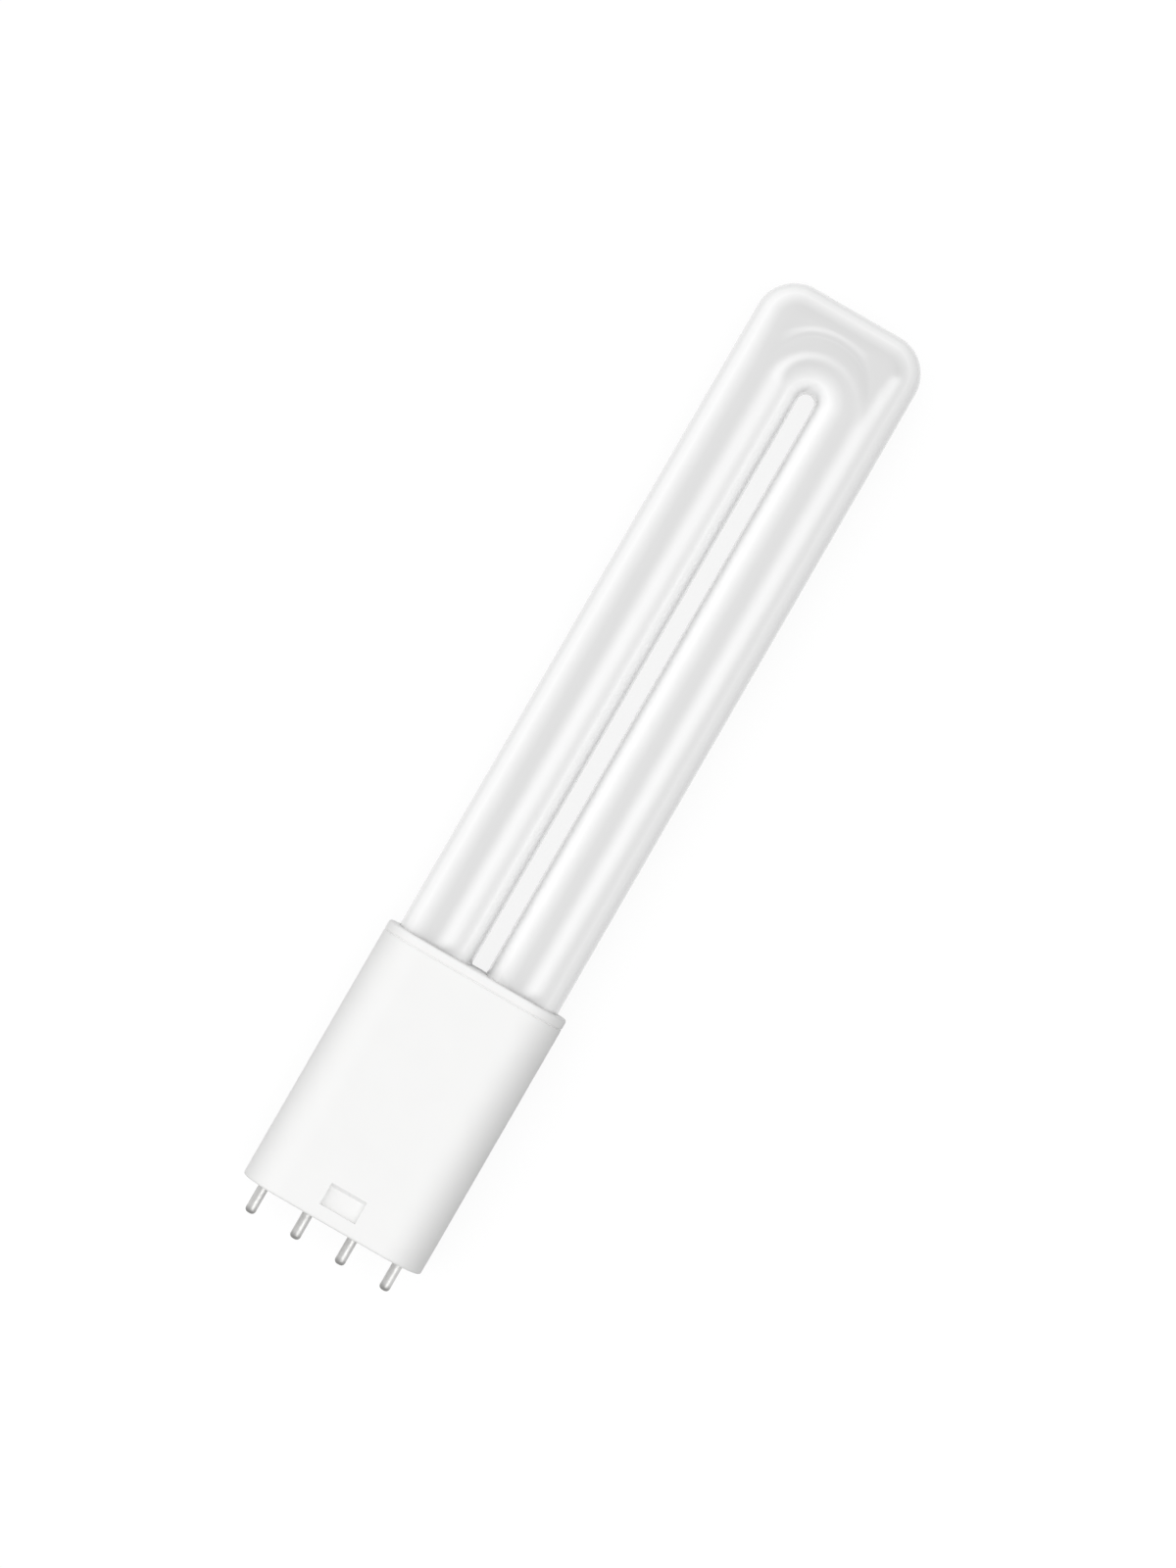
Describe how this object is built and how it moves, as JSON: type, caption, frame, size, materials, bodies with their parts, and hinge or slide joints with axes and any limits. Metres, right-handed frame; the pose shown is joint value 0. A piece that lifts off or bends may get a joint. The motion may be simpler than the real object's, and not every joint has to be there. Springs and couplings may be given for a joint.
{
  "type": "twin tube lamp",
  "caption": "White plug-in LED lamp: an opal tube bent to a narrow U with a squared end, in a flat white cap with a row of contact pins.",
  "frame": {"origin": "centre of the cap's end face, on the row of pins", "axes": "+Y along the lamp, from the pins to the bend; +Z out of the front wide face; +X across the row of pins"},
  "size_m": [0.0434, 0.231, 0.023],
  "materials": {
    "opal_glass": "gloss",
    "white_cap": "satin",
    "plated_brass": "satin",
    "circuit_board": "satin",
    "ferrite": "matte",
    "coil_tape": "satin",
    "can_sleeve": "gloss",
    "film_case": "gloss",
    "dark_moulding": "matte",
    "resistor_body": "satin",
    "led_board": "satin",
    "led_package": "satin",
    "silicone": "satin",
    "red_insulation": "gloss",
    "black_insulation": "gloss"
  },
  "bodies": {
    "root": {"twin_tube": "opal_glass", "base_housing": "white_cap", "tube_collar": "white_cap", "contact_pin_1": "plated_brass", "contact_pin_2": "plated_brass", "contact_pin_3": "plated_brass", "contact_pin_4": "plated_brass", "driver_board": "circuit_board", "transformer_core": "ferrite", "transformer_winding": "coil_tape", "bulk_capacitor": "can_sleeve", "film_capacitor": "film_case", "input_choke": "dark_moulding", "driver_chip": "dark_moulding", "rectifier_left": "dark_moulding", "rectifier_right": "dark_moulding", "fuse_resistor_left": "resistor_body", "fuse_resistor_right": "resistor_body", "led_board_left": "led_board", "led_board_right": "led_board", "leds_left": "led_package", "leds_right": "led_package", "adhesive_bed_left": "silicone", "adhesive_bed_right": "silicone", "led_lead_left_plus": "red_insulation", "led_lead_left_minus": "black_insulation", "led_lead_right_plus": "red_insulation", "led_lead_right_minus": "black_insulation"}
  },
  "joints": []
}
